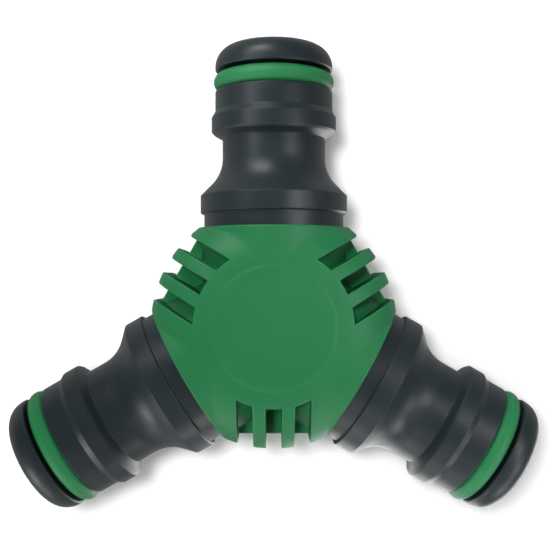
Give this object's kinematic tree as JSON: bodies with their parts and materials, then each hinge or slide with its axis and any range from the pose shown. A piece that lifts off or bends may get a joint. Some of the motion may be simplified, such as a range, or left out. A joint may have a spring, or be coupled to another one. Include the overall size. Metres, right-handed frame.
{
  "type": "three-way hose connector",
  "caption": "Flat Y-shaped garden hose connector: hollow quick-connect spigots with sealing rings, set evenly round a hub with a slotted round grip cover.",
  "frame": {"origin": "where the three spigot axes cross, at the centre of the hub and at mid height", "axes": "+Y along one spigot, +Z out of the middle of the upper face, +X across; the other two spigots lie in the XY plane at 30 degrees below -X and +X"},
  "size_m": [0.0716, 0.0629, 0.022],
  "materials": {
    "body": "dark slate grey moulded plastic with a satin surface",
    "cover": "green moulded plastic with a soft satin surface",
    "seal": "green sealing rubber, smooth and a little glossy"
  },
  "bodies": {
    "root": {"body": "body", "hub_cover": "cover", "seal_ring_a": "seal", "seal_ring_b": "seal", "seal_ring_c": "seal"}
  },
  "joints": []
}
